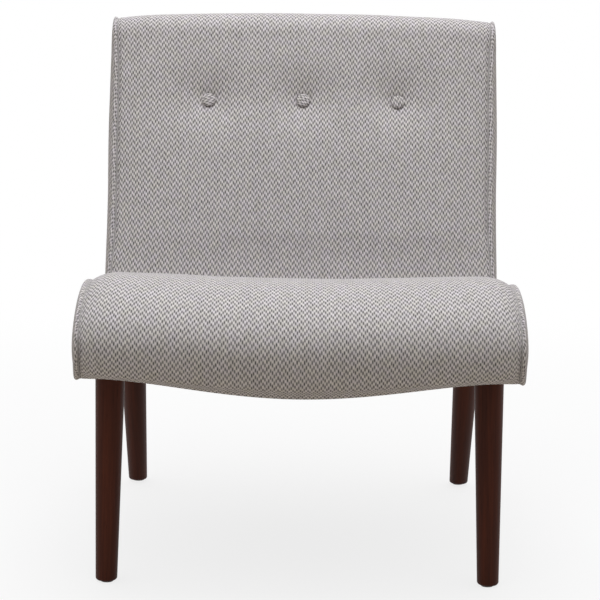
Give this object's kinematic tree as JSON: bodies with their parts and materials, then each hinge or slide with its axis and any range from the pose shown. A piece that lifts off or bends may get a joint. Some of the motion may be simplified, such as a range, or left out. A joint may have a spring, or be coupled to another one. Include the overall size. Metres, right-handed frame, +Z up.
{
  "type": "armless upholstered lounge chair",
  "caption": "Low armless lounge chair with a rolled seat, reclined button-tufted back and turned tapered legs, for sitting on at floor level.",
  "frame": {"origin": "on the floor under the middle of the chair's width and depth", "axes": "+Z up, the sitter faces -Y, +X to the right seen from the front"},
  "size_m": [0.635, 0.7404, 0.8097],
  "materials": {
    "woven_fabric": "pale warm-grey jacquard weave with small dark flecks in a chevron",
    "dark_wood": "espresso stain under satin lacquer",
    "plywood": "raw birch plywood",
    "frame_wood": "raw hardwood",
    "foam": "open-cell polyurethane foam with wadding",
    "felt": "needled felt",
    "spring_steel": "bright drawn wire and pressed steel",
    "webbing": "woven elastic webbing",
    "black_lining": "black non-woven dust cloth",
    "nylon": "dark moulded nylon"
  },
  "bodies": {
    "root": {"back_cover": "woven_fabric", "back_foam": "foam", "back_strap_1": "webbing", "back_strap_2": "webbing", "back_strap_3": "webbing", "button_1": "woven_fabric", "button_2": "woven_fabric", "button_3": "woven_fabric", "button_rail": "frame_wood", "button_tie_1": "nylon", "button_tie_2": "nylon", "button_tie_3": "nylon", "clip_front_1": "spring_steel", "clip_front_2": "spring_steel", "clip_front_3": "spring_steel", "clip_front_4": "spring_steel", "clip_rear_1": "spring_steel", "clip_rear_2": "spring_steel", "clip_rear_3": "spring_steel", "clip_rear_4": "spring_steel", "corner_block_front_left": "frame_wood", "corner_block_front_right": "frame_wood", "corner_block_rear_left": "frame_wood", "corner_block_rear_right": "frame_wood", "dust_cover": "black_lining", "front_rail": "frame_wood", "glide_front_left": "nylon", "glide_front_right": "nylon", "glide_rear_left": "nylon", "glide_rear_right": "nylon", "hanger_bolt_front_left": "spring_steel", "hanger_bolt_front_right": "spring_steel", "hanger_bolt_rear_left": "spring_steel", "hanger_bolt_rear_right": "spring_steel", "leg_front_left": "dark_wood", "leg_front_right": "dark_wood", "leg_rear_left": "dark_wood", "leg_rear_right": "dark_wood", "lower_back_rail": "frame_wood", "outside_back_cover": "woven_fabric", "rear_seat_rail": "frame_wood", "seat_cover": "woven_fabric", "seat_foam": "foam", "seat_spring_1": "spring_steel", "seat_spring_2": "spring_steel", "seat_spring_3": "spring_steel", "seat_spring_4": "spring_steel", "side_board_left": "plywood", "side_board_right": "plywood", "side_cover_left": "woven_fabric", "side_cover_right": "woven_fabric", "side_pad_left": "foam", "side_pad_right": "foam", "spring_felt": "felt", "tee_nut_front_left": "spring_steel", "tee_nut_front_right": "spring_steel", "tee_nut_rear_left": "spring_steel", "tee_nut_rear_right": "spring_steel", "top_back_rail": "frame_wood"}
  },
  "joints": []
}
